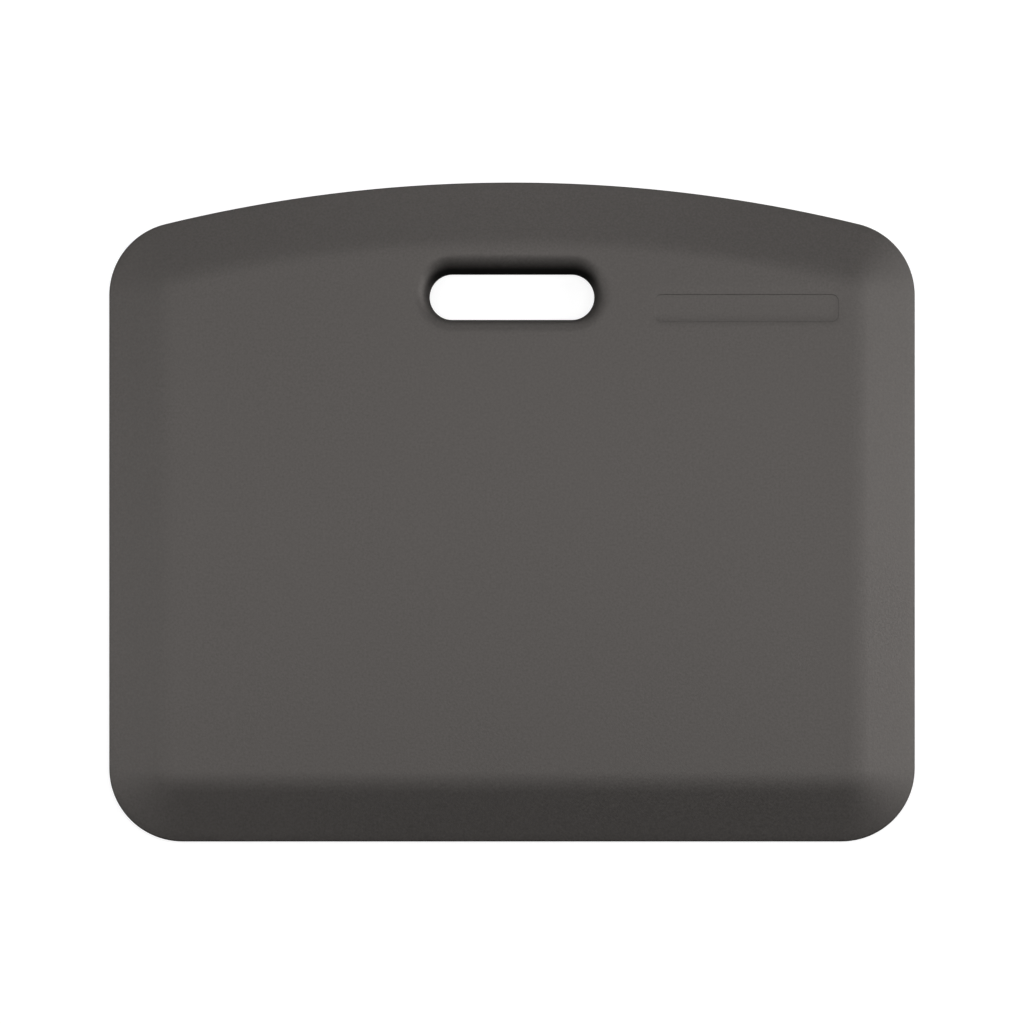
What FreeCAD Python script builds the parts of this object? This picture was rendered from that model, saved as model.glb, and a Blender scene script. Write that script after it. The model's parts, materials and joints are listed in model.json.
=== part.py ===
"""Anti-fatigue mat with a carry slot, moulded in integral-skin polyurethane foam.

The mat is three layers that leave the mould as one slab:
  top_skin   the dense wear skin over the field, the bevels, the edge wall and the slot's walls
  foam_core  the cushion of fine foam that fills the mat
  base_skin  the non-slip underside, with a waffle of shallow grooves inside a plain rim

Millimetres. The origin is on the floor under the middle of the mat, +X runs along the straight
foot edge, +Y points to the crowned edge that has the carry slot, and +Z is up.
"""
import FreeCAD, Part
import math
import os

import Sketcher

document = FreeCAD.newDocument("AntiFatigueMat")

# ---------------------------------------------------------------- driving sizes
sheet = document.addObject("Spreadsheet::Sheet", "Sizes")

DRIVING_SIZES = [
    ("mat_width", 558.8, "side to side"),
    ("mat_depth", 457.2, "foot edge to the top of the crown"),
    ("mat_thickness", 19.05, "floor to the field that is stood on"),
    ("crown_radius", 1016.0, "plan radius of the crowned edge"),
    ("field_corner", 10.8, "plan radius of the flat field's corners, inside the bevel"),
    ("bevel_width", 40.0, "outer edge to the bevel's crest, in plan"),
    ("edge_height", 4.5, "floor to the foot of the bevel"),
    ("crest_radius", 50.0, "soft turn from the bevel into the field"),
    ("edge_round", 2.0, "round between the edge wall and the bevel"),
    ("skin_thickness", 1.5, "wear skin"),
    ("base_thickness", 2.0, "non-slip underside"),
    ("slot_length", 114.3, "carry slot, end to end"),
    ("slot_width", 31.75, "carry slot, and twice the radius of its round ends"),
    ("grip_bar", 63.5, "slot to the top of the crown: the bar that the hand closes on"),
    ("lip_radius", 12.0, "round of the slot's upper edge, for the fingers"),
    ("rim_band", 14.0, "plain band of the underside round the edge and the slot"),
    ("groove_width", 3.0, "underside groove"),
    ("groove_depth", 0.8, "underside groove"),
    ("groove_pitch", 30.0, "groove to groove, both ways"),
]

for row, (alias, value, meaning) in enumerate(DRIVING_SIZES, start=1):
    sheet.set(f"A{row}", alias)
    sheet.set(f"B{row}", str(value))
    sheet.setAlias(f"B{row}", alias)
    sheet.set(f"C{row}", meaning)
document.recompute()

# Expressions that several features share. A form is set in from the mat's outer face: by nothing
# for the outer form, and by the skin's thickness for the core inside it.
NO_INSET = "0"
SKIN_INSET = "Sizes.skin_thickness"
RIM_INSET = "Sizes.rim_band"
FLOOR = "0"
BELOW_FLOOR = "-2"
SPARE_CUT = "2"
BEVEL_ANGLE = "atan((Sizes.mat_thickness - Sizes.edge_height) / Sizes.bevel_width)"
SLOT_CENTRE = "(Sizes.mat_depth / 2 - Sizes.grip_bar - Sizes.slot_width / 2)"
SLOT_HALF_STRAIGHT = "((Sizes.slot_length - Sizes.slot_width) / 2)"


def number(expression):
    """An expression's value now, which gives a sketch's geometry its starting place."""
    return float(sheet.evalExpression(expression))


# ---------------------------------------------------------------- sketches
# The points of a sketch's edge, and the sketch's own axes as it numbers them.
START, END, CENTRE = range(1, 4)
LEVEL_AXIS, UPRIGHT_AXIS = range(-1, -3, -1)
SKETCH_ORIGIN = (LEVEL_AXIS, START)


def on_origin_plane(body, item, role="XY_Plane", **offsets):
    """Attach a sketch or a box to one of the body's origin planes, moved by expressions."""
    plane = next(feature for feature in body.Origin.OriginFeatures if feature.Role == role)
    item.AttachmentSupport = [(plane, "")]
    item.MapMode = "FlatFace"
    for axis, offset in offsets.items():
        item.setExpression(f"AttachmentOffset.Base.{axis}", offset)
    return item


def new_sketch(body, name, role="XY_Plane", offset=FLOOR):
    """A sketch on one of the body's origin planes, moved along its normal by an expression."""
    sketch = body.newObject("Sketcher::SketchObject", name)
    return on_origin_plane(body, sketch, role, z=offset)


def hold(sketch, kind, *places):
    """Add a constraint that has no size of its own."""
    sketch.addConstraint(Sketcher.Constraint(kind, *places))


def drive(sketch, kind, *places, by):
    """Add a dimension to a sketch and bind it to an expression."""
    index = sketch.addConstraint(Sketcher.Constraint(kind, *places, number(by)))
    sketch.setExpression(f"Constraints[{index}]", by)


def arc(centre_x, centre_y, radius, start_degrees, end_degrees):
    """An arc for a sketch, anticlockwise."""
    circle = Part.Circle(FreeCAD.Vector(centre_x, centre_y, 0), FreeCAD.Vector(0, 0, 1), radius)
    return Part.ArcOfCircle(circle, math.radians(start_degrees), math.radians(end_degrees))


def line(start, end):
    """A straight line for a sketch, between two (x, y) points."""
    return Part.LineSegment(FreeCAD.Vector(*start, 0), FreeCAD.Vector(*end, 0))


def draw_outline(sketch, inset):
    """The mat's outline: straight foot and sides, equal round corners and a crowned head."""
    half_width = f"(Sizes.mat_width / 2 - {inset})"
    half_depth = f"(Sizes.mat_depth / 2 - {inset})"
    corner = f"(Sizes.field_corner + Sizes.bevel_width - {inset})"
    crown = f"(Sizes.crown_radius - {inset})"
    crown_below = "(Sizes.crown_radius - Sizes.mat_depth / 2)"

    side, foot, corner_r, crown_r = (number(item) for item in (half_width, half_depth, corner, crown))
    crown_y = -number(crown_below)
    corner_x = side - corner_r
    head_y = crown_y + math.sqrt((crown_r - corner_r) ** 2 - corner_x ** 2)
    lean = math.degrees(math.atan2(head_y - crown_y, corner_x))

    sketch.addGeometry([
        line((-corner_x, -foot), (corner_x, -foot)),
        arc(corner_x, corner_r - foot, corner_r, -90, 0),
        line((side, corner_r - foot), (side, head_y)),
        arc(corner_x, head_y, corner_r, 0, lean),
        arc(0, crown_y, crown_r, lean, 180 - lean),
        arc(-corner_x, head_y, corner_r, 180 - lean, 180),
        line((-side, head_y), (-side, corner_r - foot)),
        arc(-corner_x, corner_r - foot, corner_r, 180, 270),
    ])
    foot_edge, right_side, crown_arc, left_side = 0, 2, 4, 6
    corners = (1, 3, 5, 7)
    for edge in range(8):
        hold(sketch, "Tangent", edge, END, (edge + 1) % 8, START)
    hold(sketch, "Horizontal", foot_edge)
    hold(sketch, "Vertical", right_side)
    hold(sketch, "Vertical", left_side)
    hold(sketch, "PointOnObject", crown_arc, CENTRE, UPRIGHT_AXIS)
    for other in corners[1:]:
        hold(sketch, "Equal", corners[0], other)
    drive(sketch, "Radius", corners[0], by=corner)
    drive(sketch, "Radius", crown_arc, by=crown)
    drive(sketch, "DistanceX", *SKETCH_ORIGIN, right_side, START, by=half_width)
    drive(sketch, "DistanceX", left_side, START, *SKETCH_ORIGIN, by=half_width)
    drive(sketch, "DistanceY", foot_edge, START, *SKETCH_ORIGIN, by=half_depth)
    drive(sketch, "DistanceY", crown_arc, CENTRE, *SKETCH_ORIGIN, by=crown_below)


def draw_slot(sketch, grown):
    """The carry slot's outline, a bar with full round ends, grown outwards by an expression."""
    radius = f"(Sizes.slot_width / 2 + {grown})"
    end_r, end_x, centre_y = (number(item) for item in (radius, SLOT_HALF_STRAIGHT, SLOT_CENTRE))

    sketch.addGeometry([
        line((end_x, centre_y + end_r), (-end_x, centre_y + end_r)),
        arc(-end_x, centre_y, end_r, 90, 270),
        line((-end_x, centre_y - end_r), (end_x, centre_y - end_r)),
        arc(end_x, centre_y, end_r, -90, 90),
    ])
    upper_side, left_end, right_end = 0, 1, 3
    for edge in range(4):
        hold(sketch, "Tangent", edge, END, (edge + 1) % 4, START)
    hold(sketch, "Horizontal", upper_side)
    hold(sketch, "Equal", left_end, right_end)
    drive(sketch, "Radius", left_end, by=radius)
    drive(sketch, "DistanceX", left_end, CENTRE, *SKETCH_ORIGIN, by=SLOT_HALF_STRAIGHT)
    drive(sketch, "DistanceX", *SKETCH_ORIGIN, right_end, CENTRE, by=SLOT_HALF_STRAIGHT)
    drive(sketch, "DistanceY", *SKETCH_ORIGIN, right_end, CENTRE, by=SLOT_CENTRE)


def draw_lip(sketch, inset):
    """Section of what the slot's rounded lip leaves open, in a plane across the slot.

    A quarter round turns from the slot's wall into the field. The section runs on into the slot
    and above the field, where there is nothing left to cut.
    """
    wall = f"({SLOT_CENTRE} + Sizes.slot_width / 2 + {inset})"
    field = f"(Sizes.mat_thickness - {inset})"
    radius = f"(Sizes.lip_radius - {inset})"
    wall_y, field_z, lip_r, spare = (number(item) for item in (wall, field, radius, SPARE_CUT))

    sketch.addGeometry([
        arc(wall_y + lip_r, field_z - lip_r, lip_r, 90, 180),
        line((wall_y, field_z - lip_r), (wall_y - spare, field_z - lip_r)),
        line((wall_y - spare, field_z - lip_r), (wall_y - spare, field_z + spare)),
        line((wall_y - spare, field_z + spare), (wall_y + lip_r, field_z + spare)),
        line((wall_y + lip_r, field_z + spare), (wall_y + lip_r, field_z)),
    ])
    quarter, floor, inner, top, outer = range(5)
    for edge in range(5):
        hold(sketch, "Coincident", edge, END, (edge + 1) % 5, START)
    for level in (floor, top):
        hold(sketch, "Horizontal", level)
    for upright in (inner, outer):
        hold(sketch, "Vertical", upright)
    hold(sketch, "Vertical", quarter, CENTRE, quarter, START)
    hold(sketch, "Horizontal", quarter, CENTRE, quarter, END)
    drive(sketch, "Radius", quarter, by=radius)
    drive(sketch, "DistanceX", *SKETCH_ORIGIN, quarter, END, by=wall)
    drive(sketch, "DistanceY", *SKETCH_ORIGIN, quarter, START, by=field)
    drive(sketch, "DistanceX", inner, START, quarter, END, by=SPARE_CUT)
    drive(sketch, "DistanceY", quarter, START, top, END, by=SPARE_CUT)


# ---------------------------------------------------------------- solid features
def new_body(name):
    """An empty body."""
    return document.addObject("PartDesign::Body", name)


def raise_outline(body, inset, floor, top):
    """Raise the mat's outline into a slab between two heights."""
    outline = new_sketch(body, body.Name + "_outline", offset=floor)
    draw_outline(outline, inset)
    slab = body.newObject("PartDesign::Pad", body.Name + "_slab")
    slab.Profile = outline
    slab.setExpression("Length", f"{top} - {floor}")
    document.recompute()


def remove(body, kind, name, profile, **settings):
    """Take a sketch's shape out of a body, and make sure that something was cut."""
    before = body.Shape.Volume
    feature = body.newObject(kind, f"{body.Name}_{name}")
    feature.Profile = profile
    for setting, choice in settings.items():
        setattr(feature, setting, choice)
    document.recompute()
    if body.Shape.Volume >= before:
        raise RuntimeError(f"{feature.Label} cut nothing")


def cut_slot(body, grown):
    """Cut the carry slot right through a body."""
    outline = new_sketch(body, body.Name + "_slot_outline")
    draw_slot(outline, grown)
    remove(body, "PartDesign::Pocket", "slot", outline, Type="ThroughAll", Midplane=True)


def round_lip(body, inset):
    """Round the slot's upper edge: the lip's section is swept round the slot from one corner."""
    path = new_sketch(body, body.Name + "_lip_path")
    draw_slot(path, inset)
    section = new_sketch(body, body.Name + "_lip_section", "YZ_Plane", SLOT_HALF_STRAIGHT)
    draw_lip(section, inset)
    document.recompute()
    remove(body, "PartDesign::SubtractivePipe", "lip", section, Spine=(path, []))


def edges_at(shape, height):
    """Names of a shape's level edges at a height."""
    tolerance = 1e-4
    return [
        f"Edge{index}"
        for index, edge in enumerate(shape.Edges, start=1)
        if max(abs(edge.BoundBox.ZMin - height), abs(edge.BoundBox.ZMax - height)) < tolerance
    ]


def round_edges(body, name, height, radius, room):
    """Round a body's level edges at a height, as far as the faces beside them leave room."""
    base = body.Tip
    feature = body.newObject("PartDesign::Fillet", f"{body.Name}_{name}")
    feature.Base = (base, edges_at(base.Shape, number(height)))
    feature.setExpression("Radius", f"min({radius}; 0.95 * {room})")
    document.recompute()


def mat_form(name, inset):
    """The mat's form above its base: a flat field with a bevel and a soft crest all round.

    The inset moves every face inwards by the same amount, so the form set in by the skin's
    thickness is the core that fills the skin.
    """
    body = new_body(name)
    field = f"(Sizes.mat_thickness - {inset})"
    raise_outline(body, inset, "Sizes.base_thickness", field)

    slab = body.Tip
    bevel = body.newObject("PartDesign::Chamfer", name + "_bevel")
    bevel.Base = (slab, edges_at(slab.Shape, number(field)))
    bevel.ChamferType = "Two distances"
    crest_shift = f"{inset} * tan({BEVEL_ANGLE} / 2)"
    run = f"(Sizes.bevel_width + {crest_shift} - {inset})"
    bevel.setExpression("Size", f"{run} * tan({BEVEL_ANGLE})")
    bevel.setExpression("Size2", run)
    document.recompute()

    crest_room = f"(Sizes.field_corner - {crest_shift}) / tan({BEVEL_ANGLE} / 2)"
    round_edges(body, "crest", field, f"Sizes.crest_radius - {inset}", crest_room)
    return body


def flat_plate(name, inset, floor, top):
    """A flat plate of the mat's outline with the carry slot through it."""
    body = new_body(name)
    raise_outline(body, inset, floor, top)
    cut_slot(body, inset)
    return body


def groove_set(name, run, span, run_along_x):
    """Bars as long as the run, evenly pitched about the middle over the whole span."""
    count = f"(2 * ceil({span} / Sizes.groove_pitch / 2))"
    first_side = f"-(({count} - 1) * Sizes.groove_pitch + Sizes.groove_width) / 2"
    body = new_body(name)
    bar = body.newObject("PartDesign::AdditiveBox", name + "_bar")
    if run_along_x:
        run_size, width_size, pitch_axis = "Length", "Width", "Y_Axis"
        on_origin_plane(body, bar, x=f"-{run} / 2", y=first_side, z=BELOW_FLOOR)
    else:
        run_size, width_size, pitch_axis = "Width", "Length", "X_Axis"
        on_origin_plane(body, bar, x=first_side, y=f"-{run} / 2", z=BELOW_FLOOR)
    bar.setExpression(run_size, run)
    bar.setExpression(width_size, "Sizes.groove_width")
    bar.setExpression("Height", f"Sizes.groove_depth - {BELOW_FLOOR}")

    pattern = body.newObject("PartDesign::LinearPattern", name + "_pattern")
    pattern.Originals = [bar]
    axis = next(feature for feature in body.Origin.OriginFeatures if feature.Role == pitch_axis)
    pattern.Direction = (axis, [""])
    pattern.Mode = "Spacing"
    pattern.setExpression("Offset", "Sizes.groove_pitch")
    pattern.setExpression("Occurrences", count)
    body.Tip = pattern
    document.recompute()
    return body


def boolean(kind, name, base, tool):
    """A boolean of two shapes. Its flat faces stay split, which is quick with many grooves."""
    result = document.addObject(kind, name)
    result.Base = base
    result.Tool = tool
    result.Refine = False
    return result


# ---------------------------------------------------------------- foam core
# Fine cushion foam that fills the skin and stands on the base.
foam_core = mat_form("foam_core", SKIN_INSET)
cut_slot(foam_core, SKIN_INSET)
round_lip(foam_core, SKIN_INSET)

# ---------------------------------------------------------------- top skin
# The dense skin that forms against the mould: field, bevels, edge wall, slot lip and slot walls.
# It is the mat's outer form with the core's own form taken out, so the two meet face to face.
outer_form = mat_form("outer_form", NO_INSET)
wall_height = "(Sizes.edge_height - Sizes.base_thickness)"
wall_room = f"{wall_height} / tan((90 deg - {BEVEL_ANGLE}) / 2)"
round_edges(outer_form, "edge", "Sizes.edge_height", "Sizes.edge_round", wall_room)
cut_slot(outer_form, NO_INSET)
round_lip(outer_form, NO_INSET)
top_skin = boolean("Part::Cut", "top_skin", outer_form, foam_core)

# ---------------------------------------------------------------- base skin
# The non-slip underside. Its waffle of shallow grooves stops at a plain rim round the edge and
# round the slot.
base_plate = flat_plate("base_plate", NO_INSET, FLOOR, "Sizes.base_thickness")
grip_field = flat_plate("grip_field", RIM_INSET, BELOW_FLOOR, "Sizes.groove_depth")
grooves_across = groove_set("grooves_across", "Sizes.mat_depth", "Sizes.mat_width", False)
grooves_along = groove_set("grooves_along", "Sizes.mat_width", "Sizes.mat_depth", True)
trimmed_across = boolean("Part::Common", "trimmed_across", grooves_across, grip_field)
trimmed_along = boolean("Part::Common", "trimmed_along", grooves_along, grip_field)
grooved_across = boolean("Part::Cut", "grooved_across", base_plate, trimmed_across)
base_skin = boolean("Part::Cut", "base_skin", grooved_across, trimmed_along)
document.recompute()

# ---------------------------------------------------------------- checks and files
for item in document.Objects:
    if "Invalid" in item.State or "Error" in item.State:
        raise RuntimeError(f"{item.Label}: {item.getStatusString()}")

os.makedirs("parts", exist_ok=True)
for piece in (top_skin, foam_core, base_skin):
    shape = piece.Shape
    if shape.isNull() or not shape.isValid() or len(shape.Solids) != 1:
        raise RuntimeError(f"{piece.Label} is not one valid solid")
    shape.exportStep(f"parts/{piece.Label}.step")
    print(f"{piece.Label}: {shape.Volume / 1000:.1f} cm3, {len(shape.Faces)} faces")
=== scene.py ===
import json
from math import atan2, ceil, cos, hypot, pi, radians, sin, sqrt, tan

import bmesh
import bpy
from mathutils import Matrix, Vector, geometry, kdtree, noise


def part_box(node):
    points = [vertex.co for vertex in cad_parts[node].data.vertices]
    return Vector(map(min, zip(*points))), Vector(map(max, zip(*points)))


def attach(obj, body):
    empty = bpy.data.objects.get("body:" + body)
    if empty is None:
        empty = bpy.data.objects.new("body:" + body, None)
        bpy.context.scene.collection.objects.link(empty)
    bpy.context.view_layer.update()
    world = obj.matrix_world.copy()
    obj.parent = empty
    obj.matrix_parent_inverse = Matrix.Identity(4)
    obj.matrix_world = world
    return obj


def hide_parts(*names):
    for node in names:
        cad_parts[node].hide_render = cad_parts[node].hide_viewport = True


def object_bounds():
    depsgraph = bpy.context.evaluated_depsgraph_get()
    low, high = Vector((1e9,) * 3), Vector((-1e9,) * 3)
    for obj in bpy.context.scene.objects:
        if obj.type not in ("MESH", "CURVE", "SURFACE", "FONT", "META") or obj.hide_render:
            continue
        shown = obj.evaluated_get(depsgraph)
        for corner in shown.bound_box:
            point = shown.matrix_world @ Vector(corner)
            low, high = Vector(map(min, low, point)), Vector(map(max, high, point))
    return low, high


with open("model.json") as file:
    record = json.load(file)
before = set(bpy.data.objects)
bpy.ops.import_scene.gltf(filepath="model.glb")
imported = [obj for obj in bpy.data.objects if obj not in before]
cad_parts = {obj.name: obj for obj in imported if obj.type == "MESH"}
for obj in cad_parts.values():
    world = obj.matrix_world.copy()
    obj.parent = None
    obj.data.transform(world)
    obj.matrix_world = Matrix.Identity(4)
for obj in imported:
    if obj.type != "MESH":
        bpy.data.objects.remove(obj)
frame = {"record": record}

cad_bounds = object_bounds()

# ---------------------------------------------------------------- base skin
# The underside of the mat, a matt polyurethane skin cast against the lid of the mould. Square
# grip pads with small round nubs stand between grooves that let the air out, and a plain rim
# closes them in round the edge and round the carry slot.
base_low, base_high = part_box("base_skin")
half_width = base_high.x
half_depth = -base_low.y
crown_top = cad_bounds[1][1]
base_top = base_high.z
slot_centre = Vector(next(mount["pos_m"] for mount in frame["record"]["mounts"]
                          if mount["name"] == "hand_slot")).xy

CORNER_RADIUS = 0.0508
CROWN_RADIUS = 1.016
SLOT_HALF_LENGTH = 0.05715
SLOT_RADIUS = 0.015875
RIM_BAND = 0.014
GROOVE_PITCH = 0.030
GROOVE_WIDTH = 0.003
GROOVE_HEIGHT = 0.0008
PAD_HEIGHT = 0.00035
PAD_CORNER = 0.003
NUBS_PER_PAD = 4
NUB_RADIUS = 0.0013
FOOT_ROUND = 0.0008
PARTING_NICK = 0.00015
OUTLINE_SPACING = 0.004
CORNER_STEPS = 24
SLOT_SPACING = 0.003
SLOT_END_STEPS = 14
PAD_CORNER_STEPS = 3


def walk_arc(centre, radius, start, end, steps):
    """Places on an arc, up to but not at its end, each with its outward normal."""
    turns = [start + (end - start) * step / steps for step in range(steps)]
    normals = [Vector((cos(turn), sin(turn))) for turn in turns]
    return [(centre + radius * normal, normal) for normal in normals]


def walk_line(start, end, normal, spacing):
    """Places on a straight edge, up to but not at its end, each with its outward normal."""
    steps = round((end - start).length / spacing)
    return [(start.lerp(end, step / steps), normal) for step in range(steps)]


def mat_outline():
    """The mat's outer edge, anticlockwise: a straight foot and sides, and a crowned head."""
    corner_x = half_width - CORNER_RADIUS
    foot_y = CORNER_RADIUS - half_depth
    crown = Vector((0, crown_top - CROWN_RADIUS))
    head_y = crown.y + sqrt((CROWN_RADIUS - CORNER_RADIUS) ** 2 - corner_x ** 2)
    lean = atan2(head_y - crown.y, corner_x)
    crown_steps = round(CROWN_RADIUS * (pi - 2 * lean) / OUTLINE_SPACING)
    foot_left, foot_right = Vector((-corner_x, foot_y)), Vector((corner_x, foot_y))
    head_left, head_right = Vector((-corner_x, head_y)), Vector((corner_x, head_y))
    down, right = Vector((0, -1)), Vector((1, 0))
    out = CORNER_RADIUS
    return (
        walk_line(foot_left + out * down, foot_right + out * down, down, OUTLINE_SPACING)
        + walk_arc(foot_right, CORNER_RADIUS, -pi / 2, 0, CORNER_STEPS)
        + walk_line(foot_right + out * right, head_right + out * right, right, OUTLINE_SPACING)
        + walk_arc(head_right, CORNER_RADIUS, 0, lean, CORNER_STEPS)
        + walk_arc(crown, CROWN_RADIUS, lean, pi - lean, crown_steps)
        + walk_arc(head_left, CORNER_RADIUS, pi - lean, pi, CORNER_STEPS)
        + walk_line(head_left - out * right, foot_left - out * right, -right, OUTLINE_SPACING)
        + walk_arc(foot_left, CORNER_RADIUS, pi, 3 * pi / 2, CORNER_STEPS)
    )


def rounded_bar(centre, half_length, half_height, corner, spacing, corner_steps):
    """A rounded rectangle's edge, anticlockwise; with corners of its half height it is a slot."""
    across, up = half_length - corner, half_height - corner
    quarters = ((1, -1), (1, 1), (-1, 1), (-1, -1))
    centres = [centre + Vector((x * across, y * up)) for x, y in quarters]
    path = []
    for quarter, here in enumerate(centres):
        there = centres[(quarter + 1) % 4]
        turn = quarter * pi / 2
        normal = Vector((cos(turn), sin(turn)))
        path += walk_arc(here, corner, turn - pi / 2, turn, corner_steps)
        path += walk_line(here + corner * normal, there + corner * normal, normal, spacing)
    return path


def join_rings(bm, lower, upper):
    """A band of faces between two rings of the same number of vertices."""
    for step in range(len(lower)):
        after = (step + 1) % len(lower)
        bm.faces.new((lower[step], lower[after], upper[after], upper[step]))


def add_rings(bm, path, section):
    """A wall along a path, with a ring of vertices for each (outwards, height) of its section."""
    rings = []
    for outwards, height in section:
        places = [place + outwards * normal for place, normal in path]
        rings.append([bm.verts.new((*place, height)) for place in places])
    for lower, upper in zip(rings, rings[1:]):
        join_rings(bm, lower, upper)
    return rings


SAME_HEIGHT = 1e-7
SAME_PLACE = 1e-9
CLEAR_OF_EDGE = 0.7


def open_loops(bm, height):
    """The closed loops that the open edges make at one height, anticlockwise."""
    loose = {}
    for edge in bm.edges:
        level = all(abs(vert.co.z - height) < SAME_HEIGHT for vert in edge.verts)
        if level and len(edge.link_faces) == 1:
            loose[edge] = None
    loops = []
    while loose:
        edge, _ = loose.popitem()
        loop = [edge.verts[0]]
        while edge:
            loop.append(edge.other_vert(loop[-1]))
            edge = next((other for other in loop[-1].link_edges if other in loose), None)
            loose.pop(edge, None)
        loop.pop()
        pairs = zip(loop, loop[1:] + loop[:1])
        turning = sum(here.co.xy.cross(there.co.xy) for here, there in pairs)
        loops.append(loop if turning > 0 else loop[::-1])
    return loops


def fill_flat(bm, height, spacing=None):
    """Triangles over the flat area between all the open edges at one height, holes left open."""
    loops = open_loops(bm, height)
    verts = [vert for loop in loops for vert in loop]
    places = [vert.co.xy for vert in verts]
    areas, start = [], 0
    for loop in loops:
        areas.append(list(range(start, start + len(loop))))
        start += len(loop)
    if spacing:
        near = kdtree.KDTree(len(places))
        for index, place in enumerate(places):
            near.insert((*place, 0), index)
        near.balance()
        columns, rows = ceil(half_width / spacing), ceil(half_depth / spacing)
        for row in range(-rows, rows + 1):
            for column in range(-columns, columns + 1):
                place = Vector((column + row % 2 / 2, row)) * spacing
                if near.find((*place, 0))[2] > CLEAR_OF_EDGE * spacing:
                    places.append(place)
    filled = geometry.delaunay_2d_cdt(places, [], areas, 0, SAME_PLACE)
    found, _, triangles, sources, _, covers = filled
    made = {}
    for triangle, cover in zip(triangles, covers):
        if len(cover) % 2 == 0:
            continue
        for index in triangle:
            if index not in made:
                source = min(sources[index], default=len(verts))
                known = source < len(verts)
                made[index] = verts[source] if known else bm.verts.new((*found[index], height))
        bm.faces.new([made[index] for index in triangle])


def finish_mesh(bm, name, sharp_angle=35):
    """Close a mesh off: outward normals, smooth shading, and sharp edges where faces turn."""
    bmesh.ops.recalc_face_normals(bm, faces=bm.faces)
    mesh = bpy.data.meshes.new(name)
    bm.to_mesh(mesh)
    bm.free()
    mesh.shade_smooth()
    mesh.set_sharp_from_angle(angle=radians(sharp_angle))
    piece = bpy.data.objects.new(name, mesh)
    bpy.context.scene.collection.objects.link(piece)
    return piece


def side_wall(into):
    """Section of an upright wall from rounded foot to parting line; into is the rubber's side."""
    turns = [radians(angle) for angle in (90, 67.5, 45, 22.5, 0)]
    foot = [(into * FOOT_ROUND * (1 - cos(turn)), FOOT_ROUND * (1 - sin(turn))) for turn in turns]
    return foot + [(0, base_top - PARTING_NICK), (into * PARTING_NICK, base_top)]


def grip_pads():
    """Outlines of the square pads, also of those that the rim cuts into."""
    pad_half = (GROOVE_PITCH - GROOVE_WIDTH) / 2
    columns, rows = ceil(half_width / GROOVE_PITCH), ceil(half_depth / GROOVE_PITCH)
    pads = []
    for row in range(-rows, rows + 1):
        for column in range(-columns, columns + 1):
            centre = Vector((column, row)) * GROOVE_PITCH
            edge = rounded_bar(centre, pad_half, pad_half, PAD_CORNER, GROOVE_PITCH, PAD_CORNER_STEPS)
            pads.append([place for place, _ in edge])
    return pads


def add_grip_field(bm):
    """The pads and the grooves inside the rim, with an upright step wherever the level changes."""
    field_edge = [place - RIM_BAND * normal for place, normal in outer_edge]
    slot_rim_edge = [place + RIM_BAND * normal for place, normal in slot_edge]
    loops = [field_edge, slot_rim_edge] + grip_pads()
    field_area, slot_area = 0, 1
    areas, start = [], 0
    for loop in loops:
        areas.append(list(range(start, start + len(loop))))
        start += len(loop)
    places = [place for loop in loops for place in loop]
    filled = geometry.delaunay_2d_cdt(places, [], areas, 0, SAME_PLACE)
    found, _, triangles, _, _, covers = filled

    pad_layer = bm.faces.layers.bool.new("pad")
    step_layer = bm.faces.layers.bool.new("step")
    made, levels = {}, {}

    def vert_at(index, level):
        if (index, level) not in made:
            made[index, level] = bm.verts.new((*found[index], level))
        return made[index, level]

    for triangle, cover in zip(triangles, covers):
        if field_area not in cover or slot_area in cover:
            continue
        level = PAD_HEIGHT if max(cover) > slot_area else GROOVE_HEIGHT
        face = bm.faces.new([vert_at(index, level) for index in triangle])
        face[pad_layer] = level == PAD_HEIGHT
        for first, second in zip(triangle, (*triangle[1:], triangle[0])):
            levels.setdefault(frozenset((first, second)), []).append(level)

    def upright(index, lower, upper):
        passes_pad = lower < PAD_HEIGHT < upper and (index, PAD_HEIGHT) in made
        between = [PAD_HEIGHT] if passes_pad else []
        return [vert_at(index, level) for level in (lower, *between, upper)]

    for edge, sides in levels.items():
        lower, upper = min(sides) if len(sides) == 2 else 0.0, max(sides)
        if lower != upper:
            first, second = edge
            corners = upright(first, lower, upper) + upright(second, lower, upper)[::-1]
            bm.faces.new(corners)[step_layer] = True


outer_edge = mat_outline()
slot_edge = rounded_bar(slot_centre, SLOT_HALF_LENGTH, SLOT_RADIUS, SLOT_RADIUS,
                        SLOT_SPACING, SLOT_END_STEPS)

bm = bmesh.new()
add_rings(bm, outer_edge, side_wall(-1))
add_rings(bm, slot_edge, side_wall(1))
add_grip_field(bm)
fill_flat(bm, 0.0)
fill_flat(bm, base_top)
base_skin = finish_mesh(bm, "base_skin_moulding")


class Wire:
    """A node's output socket. Arithmetic on it adds the Math node, or for a colour the Mix node."""

    def __init__(self, bench, socket):
        self.bench = bench
        self.socket = socket

    def maths(self, operation, first, second):
        return self.bench.node("ShaderNodeMath", {"operation": operation}, {0: first, 1: second})

    def __add__(self, other):
        return self.maths("ADD", self, other)

    def __sub__(self, other):
        return self.maths("SUBTRACT", self, other)

    def __rsub__(self, other):
        return self.maths("SUBTRACT", other, self)

    def __mul__(self, other):
        if isinstance(other, tuple):
            blend = {"data_type": "RGBA", "blend_type": "MULTIPLY"}
            return self.bench.node("ShaderNodeMix", blend, {0: 1.0, 6: other, 7: self}, 2)
        return self.maths("MULTIPLY", self, other)

    __radd__ = __add__
    __rmul__ = __mul__


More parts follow.
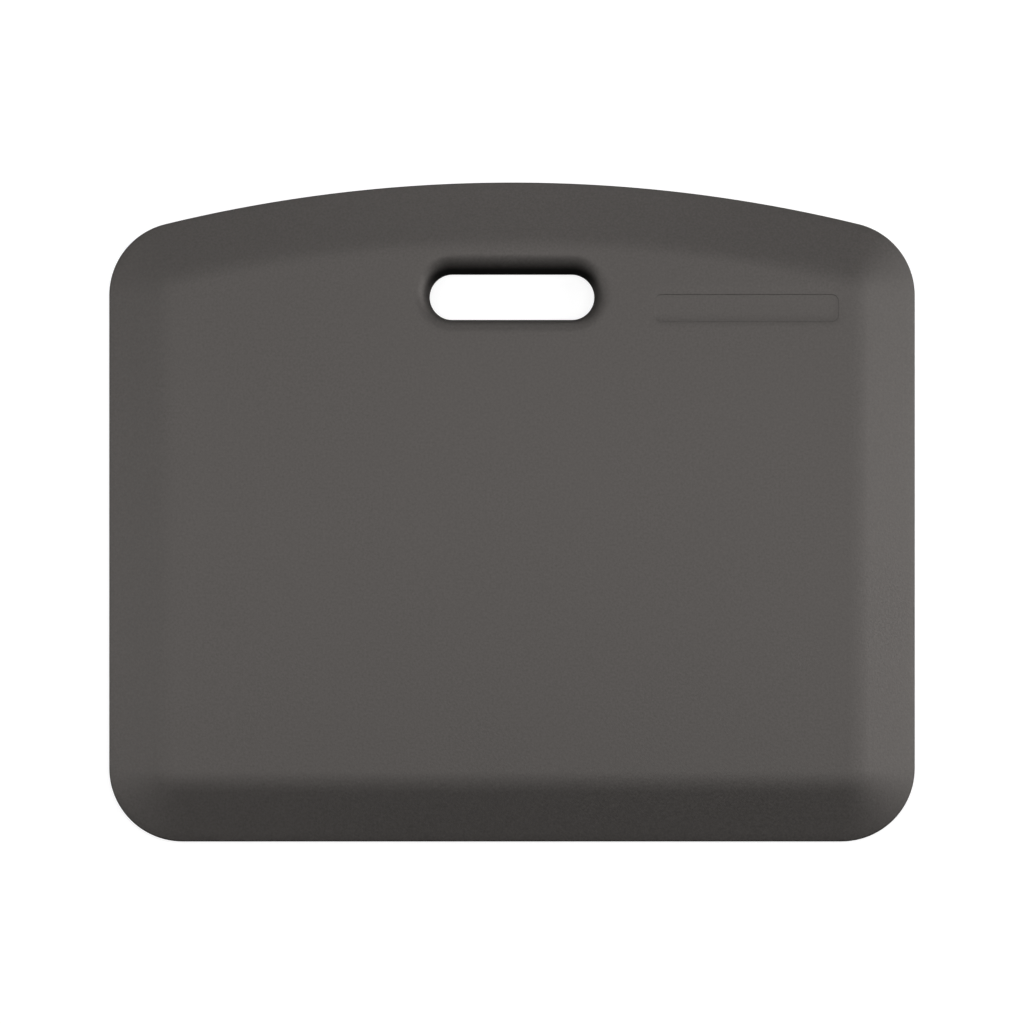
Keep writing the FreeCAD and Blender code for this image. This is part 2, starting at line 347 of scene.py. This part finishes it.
class Bench:
    """Makes the nodes of one tree."""

    def __init__(self, tree):
        self.tree = tree

    def node(self, kind, settings, values, output=0):
        """A node with its settings made first, then its sockets' values and links."""
        node = self.tree.nodes.new(kind)
        for setting, value in settings.items():
            setattr(node, setting, value)
        for name, value in values.items():
            if isinstance(value, Wire):
                self.tree.links.new(value.socket, node.inputs[name])
            else:
                node.inputs[name].default_value = value
        return Wire(self, node.outputs[output]) if len(node.outputs) else node


def new_finish(name):
    """A new material, its bench and its Object coordinates."""
    finish = bpy.data.materials.new(name)
    finish.use_nodes = True
    finish.node_tree.nodes.clear()
    bench = Bench(finish.node_tree)
    return finish, bench, bench.node("ShaderNodeTexCoord", {}, {}, "Object")


def axis(bench, place, letter):
    """One of the three numbers of a place."""
    return bench.node("ShaderNodeSeparateXYZ", {}, {"Vector": place}, letter)


def cloudy(bench, place, scale, detail=2.0):
    """Soft noise about 0, with a given number of clouds to the metre."""
    noise_values = {"Vector": place, "Scale": scale, "Detail": detail}
    return bench.node("ShaderNodeTexNoise", {}, noise_values) - 0.5


WARM_GLOSS = (1.0, 0.935, 0.890, 1.0)


def moulded_rubber(bench, colour, roughness, normal, index=1.5):
    """Finish a material off as one layer of moulded polyurethane with a slightly warm gloss."""
    surface = bench.node("ShaderNodeBsdfPrincipled", {}, {
        "Base Color": colour, "Roughness": roughness, "Normal": normal, "IOR": index,
        "Specular Tint": WARM_GLOSS})
    bench.node("ShaderNodeOutputMaterial", {}, {"Surface": surface})


GRIP_GREY = (0.060, 0.057, 0.055, 1.0)
GRIP_GRAINS = 1400.0     # to the metre
GRIP_GRAIN_DEPTH = 0.00006

grip_base, bench, place = new_finish("grip_base_polyurethane")
grain = bench.node("ShaderNodeTexVoronoi", {"feature": "SMOOTH_F1"}, {
    "Vector": place, "Scale": GRIP_GRAINS})
patches = cloudy(bench, place, 14.0, 3.0)
colour = (1.0 + patches * 0.12 + cloudy(bench, place, 900.0) * 0.10) * GRIP_GREY
relief = bench.node("ShaderNodeBump", {}, {
    "Strength": 1.0, "Distance": GRIP_GRAIN_DEPTH, "Height": grain})
moulded_rubber(bench, colour, 0.66 + patches * 0.08, relief)


NUB_SIDES = 8
NUB_TIP = 0.8            # its end's radius, as a share of the nub's own
NUB_ROOT = 1.2           # its length with what is rooted in the pad, as a share of its height
NUB_ROOM = 1.3           # how far it keeps from a step, in its own radii


def make_grip_nubs():
    """The tree that stands rows of small round nubs on every pad, wherever one has room."""
    tree = bpy.data.node_groups.new("grip_nubs", "GeometryNodeTree")
    faces = tree.interface
    faces.new_socket("Moulding", in_out="INPUT", socket_type="NodeSocketGeometry")
    for name in ("Pad pitch", "Pad width", "Nub radius", "Nub height"):
        faces.new_socket(name, in_out="INPUT", socket_type="NodeSocketFloat")
    for name in ("Nubs per pad", "Columns", "Rows"):
        faces.new_socket(name, in_out="INPUT", socket_type="NodeSocketInt")
    faces.new_socket("Finish", in_out="INPUT", socket_type="NodeSocketMaterial")
    faces.new_socket("Moulding", in_out="OUTPUT", socket_type="NodeSocketGeometry")
    bench = Bench(tree)

    def given(name):
        return bench.node("NodeGroupInput", {}, {}, name)

    def marked(name):
        mark = bench.node("GeometryNodeInputNamedAttribute", {"data_type": "BOOLEAN"}, {"Name": name})
        return bench.node("GeometryNodeSeparateGeometry", {"domain": "FACE"},
                          {"Geometry": given("Moulding"), "Selection": mark})

    def away_from(name):
        faces_only = {"target_element": "FACES"}
        return bench.node("GeometryNodeProximity", faces_only, {0: marked(name)}, "Distance")

    pitch, count = given("Pad pitch"), given("Nubs per pad")
    spread = given("Pad width") * (count - 1) * (1 / NUBS_PER_PAD)
    pads = bench.node("GeometryNodeMeshGrid", {}, {
        "Size X": pitch * (given("Columns") - 1), "Size Y": pitch * (given("Rows") - 1),
        "Vertices X": given("Columns"), "Vertices Y": given("Rows")})
    nub_grid = bench.node("GeometryNodeMeshGrid", {}, {
        "Size X": spread, "Size Y": spread, "Vertices X": count, "Vertices Y": count})
    grids = bench.node("GeometryNodeInstanceOnPoints", {}, {"Points": pads, "Instance": nub_grid})
    places = bench.node("GeometryNodeRealizeInstances", {}, {"Geometry": grids})
    off_pad = bench.node("ShaderNodeMath", {"operation": "GREATER_THAN"}, {
        0: away_from("pad"), 1: given("Nub height") * NUB_ROOT})
    at_step = bench.node("ShaderNodeMath", {"operation": "LESS_THAN"}, {
        0: away_from("step"), 1: given("Nub radius") * NUB_ROOM})
    kept = bench.node("GeometryNodeDeleteGeometry", {"domain": "POINT"}, {
        "Geometry": places, "Selection": off_pad + at_step})
    nub = bench.node("GeometryNodeMeshCone", {}, {
        "Vertices": NUB_SIDES, "Radius Bottom": given("Nub radius") * NUB_TIP,
        "Radius Top": given("Nub radius"), "Depth": given("Nub height") * NUB_ROOT})
    nubs = bench.node("GeometryNodeInstanceOnPoints", {}, {"Points": kept, "Instance": nub})
    joined = bench.node("GeometryNodeJoinGeometry", {}, {})
    join = joined.socket.node
    tree.links.new(nubs.socket, join.inputs[0])
    tree.links.new(given("Moulding").socket, join.inputs[0])
    solid = bench.node("GeometryNodeRealizeInstances", {}, {"Geometry": joined})
    finished = bench.node("GeometryNodeSetMaterial", {}, {
        "Geometry": solid, "Material": given("Finish")})
    bench.node("NodeGroupOutput", {}, {"Moulding": finished})
    return tree


def settle_nodes(piece, tree, **values):
    """Run a tree on a piece with the given inputs, and keep what it makes as the piece's plain mesh."""
    modifier = piece.modifiers.new(tree.name, "NODES")
    modifier.node_group = tree
    inputs = [item for item in tree.interface.items_tree if item.in_out == "INPUT"]
    named = {item.name: item.identifier for item in inputs}
    for name, value in values.items():
        modifier[named[name.replace("_", " ")]] = value
    evaluated = piece.evaluated_get(bpy.context.evaluated_depsgraph_get())
    mesh = bpy.data.meshes.new_from_object(evaluated)
    mesh.materials.pop(index=0)          # the empty slot of the shapes that had no finish yet
    piece.modifiers.remove(modifier)
    piece.data = mesh


settle_nodes(base_skin, make_grip_nubs(),
             Pad_pitch=GROOVE_PITCH, Pad_width=GROOVE_PITCH - GROOVE_WIDTH,
             Nub_radius=NUB_RADIUS, Nub_height=PAD_HEIGHT, Nubs_per_pad=NUBS_PER_PAD,
             Columns=2 * ceil(half_width / GROOVE_PITCH) + 1,
             Rows=2 * ceil(half_depth / GROOVE_PITCH) + 1,
             Finish=grip_base)
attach(base_skin, "root")
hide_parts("base_skin")

# ---------------------------------------------------------------- foam core
# The cushion itself: one block of closed-cell polyurethane foam that fills the two skins. It has
# the mat's form less the thickness of the top skin, and it is poured and bonded, never seen.
crest_height = cad_bounds[1][2]

TOP_SKIN = 0.0015
BEVEL_WIDTH = 0.0415
EDGE_HEIGHT = 0.0045
EDGE_ROUND = 0.002
CREST_RADIUS = 0.046
LIP_RADIUS = 0.0105
LIP_DRAFT = radians(10)
ARC_STEPS = 12
EDGE_STEPS = 6
SLOPE_STEPS = 7
HIDDEN_SPACING = 0.03
FOAM_GREY = (0.115, 0.108, 0.102, 1.0)
FOAM_CELLS = 1600.0      # to the metre
FOAM_CELL_DEPTH = 0.0002


def bevelled_side(inside):
    """Section of the sloping side, a distance inside its face, from the parting line to the field."""
    slope = atan2(crest_height - EDGE_HEIGHT, BEVEL_WIDTH)
    edge_centre = EDGE_HEIGHT - EDGE_ROUND * (1 - sin(slope)) / cos(slope)
    crest_inset = BEVEL_WIDTH + CREST_RADIUS * tan(slope / 2)
    crest_centre = crest_height - CREST_RADIUS
    section = [(-inside, base_top)]
    for step in range(EDGE_STEPS + 1):
        turn = (pi / 2 - slope) * step / EDGE_STEPS
        reach = EDGE_ROUND - inside
        section.append((-EDGE_ROUND + reach * cos(turn), edge_centre + reach * sin(turn)))
    crest = []
    for step in range(ARC_STEPS + 1):
        turn = pi / 2 - slope + slope * step / ARC_STEPS
        reach = CREST_RADIUS - inside
        crest.append((-crest_inset + reach * cos(turn), crest_centre + reach * sin(turn)))
    start, end = Vector(section[-1]), Vector(crest[0])
    for step in range(1, SLOPE_STEPS):
        section.append(tuple(start.lerp(end, step / SLOPE_STEPS)))
    return section + crest


def slot_lip(inside):
    """Section of the slot's drawn wall and round lip, a distance inside their face."""
    centre_height = crest_height - LIP_RADIUS
    wall_top = centre_height + LIP_RADIUS * sin(LIP_DRAFT)
    centre_out = (wall_top - base_top) * tan(LIP_DRAFT) + LIP_RADIUS * cos(LIP_DRAFT)
    round_lip = []
    for step in range(ARC_STEPS + 1):
        turn = LIP_DRAFT + (pi / 2 - LIP_DRAFT) * step / ARC_STEPS
        reach = LIP_RADIUS - inside
        round_lip.append((centre_out - reach * cos(turn), centre_height + reach * sin(turn)))
    foot = Vector((inside / cos(LIP_DRAFT), base_top))
    top = Vector(round_lip[0])
    wall = [tuple(foot.lerp(top, share)) for share in (0, 0.25, 0.5, 0.75)]
    return wall + round_lip


bm = bmesh.new()
add_rings(bm, outer_edge, bevelled_side(TOP_SKIN))
add_rings(bm, slot_edge, slot_lip(TOP_SKIN))
fill_flat(bm, crest_height - TOP_SKIN, HIDDEN_SPACING)
fill_flat(bm, base_top)
foam_core = finish_mesh(bm, "foam_core_casting")

cushion_foam, bench, place = new_finish("cushion_foam_polyurethane")
cells = bench.node("ShaderNodeTexVoronoi", {"feature": "F1"}, {
    "Vector": place, "Scale": FOAM_CELLS})
colour = (0.9 + cells * 0.25 + cloudy(bench, place, 30.0) * 0.1) * FOAM_GREY
relief = bench.node("ShaderNodeBump", {}, {
    "Strength": 1.0, "Distance": FOAM_CELL_DEPTH, "Height": cells})
moulded_rubber(bench, colour, 0.85 + cloudy(bench, place, 60.0) * 0.06, relief)
foam_core.data.materials.append(cushion_foam)
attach(foam_core, "root")
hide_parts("foam_core")

# ---------------------------------------------------------------- top skin
# The surface that is stood on: a tough polyurethane skin cast in one with the bevels and the lip of
# the carry slot. The mould gives it a fine pebble grain, and the foam under it leaves it gently
# uneven. A shallow bare plate lies near the corner at the head.
FIELD_SPACING = 0.005
UNEVENNESS = 0.00022
PLATE_FROM_SIDE = 0.1184
PLATE_FROM_HEAD = 0.0902
PLATE_HALF_LENGTH = 0.0632
PLATE_HALF_HEIGHT = 0.0095
PLATE_CORNER = 0.005
PLATE_DEPTH = 0.0003
PLATE_WALL = 0.0004
PLATE_WALL_STEPS = 6
PLATE_SPACING = 0.003
PLATE_CORNER_STEPS = 8
BROAD_CLOUDS = 11        # to the metre, as the next
SMALL_CLOUDS = 27
BROAD_SHARE = 0.65


def nicked(section, into):
    """A section whose foot is drawn in a little, towards the rubber, along the parting line."""
    return [(into * PARTING_NICK, base_top), (0, base_top + PARTING_NICK)] + section[1:]


def leave_uneven(bm):
    """Sink the face here and there, by nothing at the floor's edge and by most on the field."""
    for vert in bm.verts:
        share = min(max((vert.co.z - EDGE_HEIGHT) / (crest_height - EDGE_HEIGHT), 0), 1)
        broad = noise.noise(vert.co * BROAD_CLOUDS)
        small = noise.noise(vert.co * SMALL_CLOUDS + Vector((7, 3, 1)))
        cloud = BROAD_SHARE * broad + (1 - BROAD_SHARE) * small
        vert.co.z -= UNEVENNESS * share * min(max(0.5 + cloud, 0), 1)


plate_centre = Vector((half_width - PLATE_FROM_SIDE, half_depth - PLATE_FROM_HEAD))
plate_edge = rounded_bar(plate_centre, PLATE_HALF_LENGTH, PLATE_HALF_HEIGHT, PLATE_CORNER,
                         PLATE_SPACING, PLATE_CORNER_STEPS)
plate_wall = []
for step in range(PLATE_WALL_STEPS + 1):
    share = step / PLATE_WALL_STEPS
    plate_wall.append((-PLATE_WALL * share, crest_height - PLATE_DEPTH * (1 - cos(pi * share)) / 2))

bm = bmesh.new()
outer_side = add_rings(bm, outer_edge, nicked(bevelled_side(0), -1))
outer_lip = add_rings(bm, slot_edge, nicked(slot_lip(0), 1))
add_rings(bm, plate_edge, plate_wall)
fill_flat(bm, crest_height, FIELD_SPACING)
fill_flat(bm, crest_height - PLATE_DEPTH, FIELD_SPACING)
leave_uneven(bm)
inner_side = add_rings(bm, outer_edge, bevelled_side(TOP_SKIN))
inner_lip = add_rings(bm, slot_edge, slot_lip(TOP_SKIN))
fill_flat(bm, crest_height - TOP_SKIN, HIDDEN_SPACING)
join_rings(bm, outer_side[0], inner_side[0])
join_rings(bm, outer_lip[0], inner_lip[0])
top_skin = finish_mesh(bm, "top_skin_moulding")

WEAR_GREY = (0.0350, 0.0325, 0.0310, 1.0)
WEAR_GLOSS = 1.65
PEBBLES = 900.0          # to the metre, as the next two
SPECKLES = 640.0
DIMPLES = 600.0
WEAR_GRAIN_DEPTH = 0.00004
# The carry bar's slot wall is rubbed smoother by fingers and has painted shade in its colour: it lies
# headwards of the slot's middle, below the field, and reaches to each side.
POLISH_AND_SHADE_START, POLISH_AND_SHADE_FULL, POLISH_AND_SHADE_LAST, POLISH_AND_SHADE_END = 0.004, 0.014, 0.029, 0.030
POLISH_AND_SHADE_TOP, POLISH_AND_SHADE_DEEP = 0.001, 0.010
POLISH_AND_SHADE_WIDE, POLISH_AND_SHADE_WIDEST = 0.058, 0.068
POLISH = 0.22


def fading(bench, amount, start, end):
    """0 up to a start, 1 from an end on, and smooth between them."""
    return bench.node("ShaderNodeMapRange", {"interpolation_type": "SMOOTHSTEP"}, {
        "Value": amount, "From Min": start, "From Max": end})


wear_skin, bench, place = new_finish("wear_skin_polyurethane")
across = bench.node("ShaderNodeMath", {"operation": "ABSOLUTE"}, {0: axis(bench, place, "X")})
up_mat, height = axis(bench, place, "Y"), axis(bench, place, "Z")
bar_side = fading(bench, up_mat, slot_centre.y + POLISH_AND_SHADE_START, slot_centre.y + POLISH_AND_SHADE_FULL)
on_bar = bar_side * fading(bench, up_mat, slot_centre.y + POLISH_AND_SHADE_END, slot_centre.y + POLISH_AND_SHADE_LAST)
in_slot = fading(bench, height, crest_height - POLISH_AND_SHADE_TOP, crest_height - POLISH_AND_SHADE_DEEP)
polish_and_painted_shade = on_bar * in_slot * fading(bench, across, POLISH_AND_SHADE_WIDEST, POLISH_AND_SHADE_WIDE)

pebble = bench.node("ShaderNodeTexVoronoi", {"feature": "SMOOTH_F1"}, {
    "Vector": place, "Scale": PEBBLES, "Smoothness": 0.6})
patches = cloudy(bench, place, 5.0, 3.0)
speckle = cloudy(bench, place, SPECKLES, 1.0)
# On the carry bar's slot wall the colour is up to 0.8 darker. This is painted shade, because that wall
# faces away from the light.
colour = ((1.0 + patches * 0.07 + speckle) * (1.0 - polish_and_painted_shade * 0.8)) * WEAR_GREY
grain = pebble * 0.5 + cloudy(bench, place, DIMPLES, 1.0) * 1.2
relief = bench.node("ShaderNodeBump", {}, {
    "Strength": 1.0, "Distance": WEAR_GRAIN_DEPTH, "Height": grain})
# The same wall is also less rough, polished by handling.
dullness = 0.55 + patches * 0.04 + speckle * 0.06 - polish_and_painted_shade * POLISH
moulded_rubber(bench, colour, dullness, relief, WEAR_GLOSS)
top_skin.data.materials.append(wear_skin)
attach(top_skin, "root")
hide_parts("top_skin")

# ---------------------------------------------------------------- floor and light
# The mat lies flat on a pale floor, and the camera looks straight down from over its foot half.
# Soft boxes stand round it, the strongest to its right, the weakest at its foot, and one over it.
SHADE_GREY = (0.015, 0.015, 0.015, 1.0)
PAPER_GREY = (0.40, 0.40, 0.40, 1.0)
WHITE = (1.0, 1.0, 1.0, 1.0)
BLACK = (0.0, 0.0, 0.0, 1.0)
FLOOR_HALF = 4.0
FLOOR_GAP = 0.0001
NEAR_GLOW = 0.7
GLOW_START, GLOW_FULL = 0.8, 2.0

bm = bmesh.new()
bmesh.ops.create_grid(bm, x_segments=1, y_segments=1, size=FLOOR_HALF)
bmesh.ops.translate(bm, verts=bm.verts, vec=(0, 0, cad_bounds[0][2] - FLOOR_GAP))
floor = finish_mesh(bm, "floor")
floor_paper, bench, place = new_finish("floor_paper")
away = bench.node("ShaderNodeVectorMath", {"operation": "LENGTH"}, {0: place}, "Value")
glow_colour = NEAR_GLOW + fading(bench, away, GLOW_START, GLOW_FULL) * (1 - NEAR_GLOW)
to_camera = bench.node("ShaderNodeLightPath", {}, {}, "Is Camera Ray")
paper = bench.node("ShaderNodeBsdfDiffuse", {}, {"Color": PAPER_GREY})
glow = bench.node("ShaderNodeEmission", {}, {"Color": glow_colour, "Strength": 1.0})
seen_paper = bench.node("ShaderNodeAddShader", {}, {0: paper, 1: glow})
shaded_paper = bench.node("ShaderNodeBsdfDiffuse", {}, {"Color": SHADE_GREY})
both = bench.node("ShaderNodeMixShader", {}, {0: to_camera, 1: shaded_paper, 2: seen_paper})
bench.node("ShaderNodeOutputMaterial", {}, {"Surface": both})
floor.data.materials.append(floor_paper)

world = bpy.data.worlds.new("studio")
bpy.context.scene.world = world
world.use_nodes = True
world.node_tree.nodes.clear()
bench = Bench(world.node_tree)
to_camera = bench.node("ShaderNodeLightPath", {}, {}, "Is Camera Ray")
room = bench.node("ShaderNodeBackground", {}, {"Color": BLACK, "Strength": 0.0})
backdrop = bench.node("ShaderNodeBackground", {}, {"Color": WHITE, "Strength": 1.0})
surround = bench.node("ShaderNodeMixShader", {}, {0: to_camera, 1: room, 2: backdrop})
bench.node("ShaderNodeOutputWorld", {}, {"Surface": surround})

# Each soft box: the way to it, degrees round from the right and degrees up, its distance, its size
# and its power.
SOFT_BOXES = {
    "low_right": (0, 25, 2.2, 1.0, 18.9),
    "high_right": (0, 60, 2.2, 1.0, 9.1),
    "head_right": (30, 18, 2.2, 1.0, 9.8),
    "head": (90, 25, 2.2, 1.0, 7.0),
    "over_mat": (90, 82, 2.6, 1.4, 17.7),
    "head_left": (135, 35, 2.2, 1.0, 4.8),
    "low_left": (180, 25, 2.2, 1.0, 9.9),
    "high_left": (180, 60, 2.2, 1.0, 8.3),
    "foot_left": (225, 42, 2.2, 1.0, 2.7),
    "foot_right": (330, 25, 2.2, 1.0, 2.3),
}
for name, (round_angle, up_angle, distance, size, power) in SOFT_BOXES.items():
    round_turn, up_turn = radians(round_angle), radians(up_angle)
    way = Vector((cos(round_turn) * cos(up_turn), sin(round_turn) * cos(up_turn), sin(up_turn)))
    lamp = bpy.data.lights.new("soft_box_" + name, "AREA")
    lamp.shape = "DISK"
    lamp.size = size
    lamp.energy = power
    box = bpy.data.objects.new(lamp.name, lamp)
    box.location = way * distance
    box.rotation_euler = way.to_track_quat("Z", "Y").to_euler()
    box.visible_camera = False
    bpy.context.scene.collection.objects.link(box)

CAMERA_TOWARDS_FOOT = 0.135
CAMERA_HEIGHT = 1.4
LENS_LENGTH = 70.78
LENS_SHIFT = 0.19

lens = bpy.data.cameras.new("camera")
lens.lens = LENS_LENGTH
lens.sensor_width = 36
lens.shift_y = LENS_SHIFT
camera = bpy.data.objects.new("camera", lens)
camera.location = (0, -CAMERA_TOWARDS_FOOT, CAMERA_HEIGHT)
bpy.context.scene.collection.objects.link(camera)
bpy.context.scene.camera = camera
bpy.context.scene.view_settings.view_transform = "Standard"
